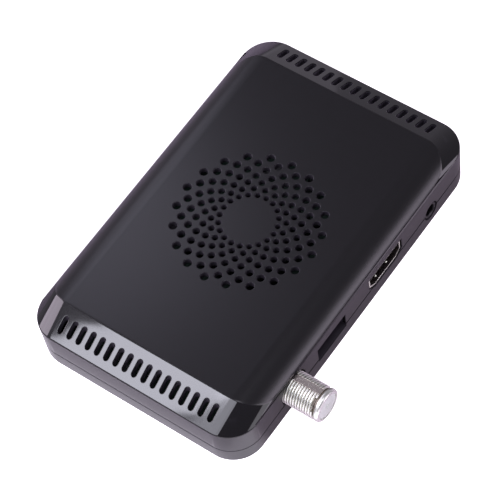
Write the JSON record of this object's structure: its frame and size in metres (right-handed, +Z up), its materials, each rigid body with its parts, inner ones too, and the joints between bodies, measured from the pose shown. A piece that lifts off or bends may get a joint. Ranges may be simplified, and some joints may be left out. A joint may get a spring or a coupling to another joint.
{
  "type": "satellite tv receiver",
  "caption": "Palm-sized satellite television receiver: low two-part case, vent ring and slots on top, antenna, USB, HDMI and audio-video sockets along one side.",
  "frame": {"origin": "middle of the footprint's box, antenna socket and standby button included, on the surface that the feet stand on", "axes": "+X out of the side with the antenna, USB and HDMI sockets, +Y along the case's length away from the antenna socket, +Z up"},
  "size_m": [0.0798, 0.1094, 0.0188],
  "materials": {
    "cover_satin_abs": "fine satin moulding, glossy bevels",
    "base_abs": "fine satin moulding",
    "button_abs": "gloss moulding",
    "nickel_plate": "bright nickel plate",
    "tinned_steel": "stamped, tin plated",
    "contact_brass": "stamped",
    "pale_insulator": "turned polyethylene",
    "black_insulator": "moulded nylon",
    "circuit_board": "green solder resist over glass laminate",
    "anodised_sink": "black anodised",
    "chip_epoxy": "moulded epoxy",
    "ferrite": "sintered ferrite",
    "capacitor_can": "drawn can",
    "foot_rubber": "die cut",
    "screw_steel": "black zinc"
  },
  "bodies": {
    "receiver": {"top_cover": "cover_satin_abs", "base_cover": "base_abs", "main_pcb": "circuit_board", "f_connector_body": "nickel_plate", "f_connector_insulator": "pale_insulator", "f_connector_contact": "contact_brass", "usb_shell": "tinned_steel", "usb_tongue": "black_insulator", "hdmi_shell": "nickel_plate", "hdmi_tongue": "black_insulator", "av_jack_body": "black_insulator", "ir_jack_body": "black_insulator", "power_jack_body": "black_insulator", "power_jack_pin": "nickel_plate", "button_switch": "tinned_steel", "processor_chip": "chip_epoxy", "heat_sink": "anodised_sink", "tuner_shield": "tinned_steel", "tuner_chip": "chip_epoxy", "capacitor_input": "capacitor_can", "capacitor_core": "capacitor_can", "capacitor_lnb": "capacitor_can", "power_inductor": "ferrite", "lnb_inductor": "ferrite", "regulator_chip": "chip_epoxy", "lnb_supply_chip": "chip_epoxy", "flash_chip": "chip_epoxy", "crystal_can": "capacitor_can", "case_screw_1": "screw_steel", "case_screw_2": "screw_steel", "case_screw_3": "screw_steel", "case_screw_4": "screw_steel", "foot_1": "foot_rubber", "foot_2": "foot_rubber", "foot_3": "foot_rubber", "foot_4": "foot_rubber"},
    "standby_key": {"standby_button": "button_abs", "switch_plunger": "black_insulator"}
  },
  "joints": [
    {"name": "standby_press", "type": "slide", "parent": "receiver", "child": "standby_key", "axis": [1, 0, 0], "range_m": [0, 0.0005], "stiffness_N_per_m": 2500, "springref_m": -0.0002}
  ]
}
